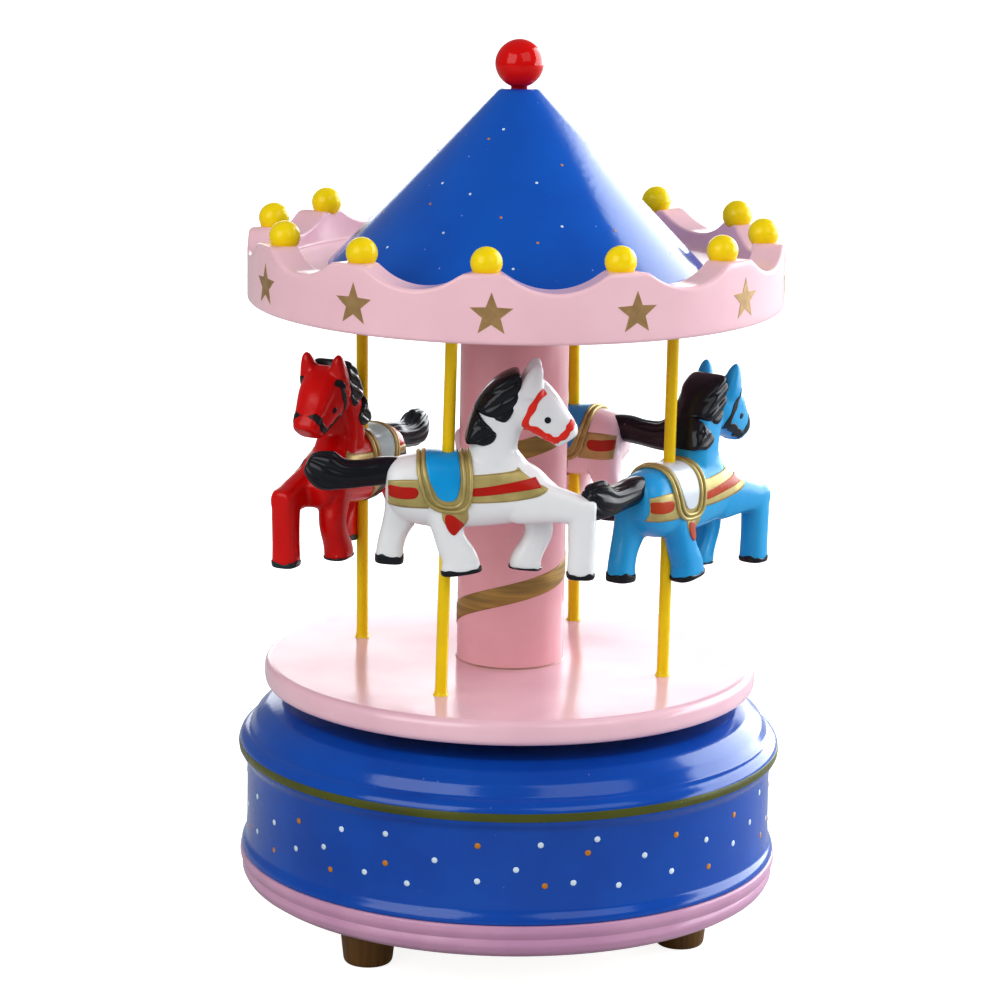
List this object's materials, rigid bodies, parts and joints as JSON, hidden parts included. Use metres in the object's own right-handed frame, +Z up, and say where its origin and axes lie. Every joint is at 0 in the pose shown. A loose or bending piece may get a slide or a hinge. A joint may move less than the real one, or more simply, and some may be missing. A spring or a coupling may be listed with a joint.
{
  "type": "carousel music box",
  "caption": "Wooden carousel music box: a round base with the movement inside, a turning deck with horses on poles, a scalloped crown and a cone roof.",
  "frame": {"origin": "on the table under the middle of the base, at the height of the feet's undersides", "axes": "+Z up along the turning axis; -Y towards the viewer, with the white horse at the front heading +X"},
  "size_m": [0.11, 0.11, 0.1823],
  "materials": {
    "blue_paint": "turned wood under glossy blue lacquer",
    "pink_paint": "turned wood under glossy pale pink lacquer",
    "yellow_paint": "wood under glossy yellow paint",
    "red_paint": "turned wood bead under glossy red paint",
    "brown_paint": "turned wood under glossy brown paint",
    "plywood": "bare plywood disc",
    "white_moulding": "moulded horse, glossy, painted trim",
    "blue_moulding": "moulded horse, glossy, painted trim",
    "pink_moulding": "moulded horse, glossy, painted trim",
    "red_moulding": "moulded horse, glossy, painted trim",
    "steel": "ground steel",
    "spring_steel": "blued spring steel",
    "brass": "machined brass",
    "fan_plastic": "moulded nylon"
  },
  "bodies": {
    "base": {"base_housing": "blue_paint", "base_ring": "pink_paint", "bottom_plate": "plywood", "foot_1": "brown_paint", "foot_2": "brown_paint", "foot_3": "brown_paint", "movement_bedplate": "steel", "bedplate_screw_1": "steel", "bedplate_screw_2": "steel", "bedplate_screw_3": "steel", "spring_housing": "steel", "mainspring": "spring_steel", "comb": "steel", "comb_bridge": "brass", "comb_screw_1": "steel", "comb_screw_2": "steel", "cylinder_bearing": "brass", "end_bearing_plate": "brass", "wheel_bearing": "brass", "worm_bracket": "brass"},
    "carousel": {"winding_arbor": "steel", "drive_gear": "brass", "deck_hub": "steel", "hub_screw_1": "steel", "hub_screw_2": "steel", "hub_screw_3": "steel", "deck": "pink_paint", "column": "pink_paint", "crown": "pink_paint", "roof_cone": "blue_paint", "finial_ball": "red_paint", "crown_ball_1": "yellow_paint", "crown_ball_2": "yellow_paint", "crown_ball_3": "yellow_paint", "crown_ball_4": "yellow_paint", "crown_ball_5": "yellow_paint", "crown_ball_6": "yellow_paint", "crown_ball_7": "yellow_paint", "crown_ball_8": "yellow_paint", "crown_ball_9": "yellow_paint", "crown_ball_10": "yellow_paint", "crown_ball_11": "yellow_paint", "crown_ball_12": "yellow_paint", "pole_1": "yellow_paint", "pole_2": "yellow_paint", "pole_3": "yellow_paint", "pole_4": "yellow_paint", "horse_white": "white_moulding", "horse_blue": "blue_moulding", "horse_pink": "pink_moulding", "horse_red": "red_moulding"},
    "music_cylinder": {"pin_cylinder": "brass", "cylinder_pinion": "brass", "cylinder_gear": "brass"},
    "governor_wheel": {"wheel_pinion": "steel", "worm_wheel": "brass"},
    "governor": {"worm_shaft": "steel", "governor_fan": "fan_plastic"}
  },
  "joints": [
    {"name": "carousel_spin", "type": "hinge", "parent": "base", "child": "carousel", "pos_m": [0, 0, 0], "axis": [0, 0, 1], "continuous": true},
    {"name": "cylinder_spin", "type": "hinge", "parent": "base", "child": "music_cylinder", "pos_m": [0.02, 0, 0.03083], "axis": [1, 0, 0], "continuous": true},
    {"name": "governor_wheel_spin", "type": "hinge", "parent": "base", "child": "governor_wheel", "pos_m": [0.03, 0.0092, 0.02691], "axis": [1, 0, 0], "continuous": true},
    {"name": "governor_spin", "type": "hinge", "parent": "base", "child": "governor", "pos_m": [0.03305, 0.0156, 0.027], "axis": [0, 0, 1], "continuous": true}
  ],
  "couplings": [
    {"joint": "cylinder_spin", "follows": "carousel_spin", "ratio": -3},
    {"joint": "governor_wheel_spin", "follows": "carousel_spin", "ratio": 9},
    {"joint": "governor_spin", "follows": "carousel_spin", "ratio": -144}
  ]
}
